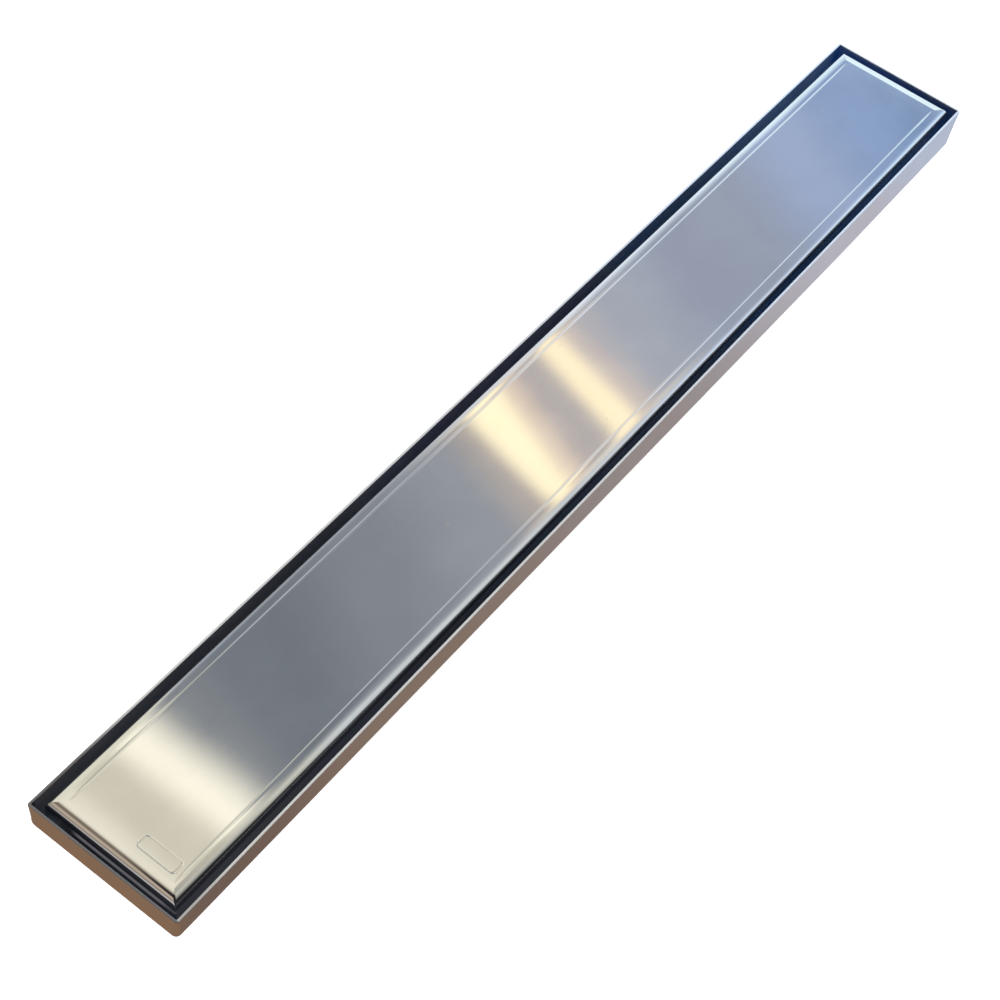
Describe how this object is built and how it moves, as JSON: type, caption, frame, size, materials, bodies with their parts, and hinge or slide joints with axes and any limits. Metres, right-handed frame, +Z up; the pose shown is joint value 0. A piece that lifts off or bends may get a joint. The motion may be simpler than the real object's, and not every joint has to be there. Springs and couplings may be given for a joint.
{
  "type": "linear shower drain",
  "caption": "Long narrow floor drain: shallow steel tray, solid folded cover plate with a slot all round it, and an outlet spigot holding a hair strainer and a bell trap.",
  "frame": {"origin": "under the centre of the tray, level with the lower end of the outlet spigot", "axes": "+X along the tray towards its outlet end, +Z up, +Y across the tray"},
  "size_m": [0.6, 0.075, 0.0628],
  "materials": {
    "tray_steel": "satin, rolled sheet",
    "spigot_steel": "satin, drawn tube",
    "cover_steel": "fine satin, pressed sheet",
    "bracket_steel": "mill finish sheet",
    "bumper_rubber": "moulded",
    "bowl_plastic": "moulded",
    "bell_plastic": "moulded",
    "seal_rubber": "moulded",
    "strainer_steel": "pressed and perforated sheet",
    "knob_steel": "turned"
  },
  "bodies": {
    "root": {"channel_tray": "tray_steel", "outlet_spigot": "spigot_steel", "cover_plate": "cover_steel", "cover_support_1": "bracket_steel", "cover_support_2": "bracket_steel", "cover_support_3": "bracket_steel", "cover_support_4": "bracket_steel", "bumper_1_left": "bumper_rubber", "bumper_1_right": "bumper_rubber", "bumper_2_left": "bumper_rubber", "bumper_2_right": "bumper_rubber", "bumper_3_left": "bumper_rubber", "bumper_3_right": "bumper_rubber", "bumper_4_left": "bumper_rubber", "bumper_4_right": "bumper_rubber", "trap_bowl": "bowl_plastic", "trap_bell": "bell_plastic", "trap_seal": "seal_rubber", "hair_strainer": "strainer_steel", "strainer_knob": "knob_steel"}
  },
  "joints": []
}
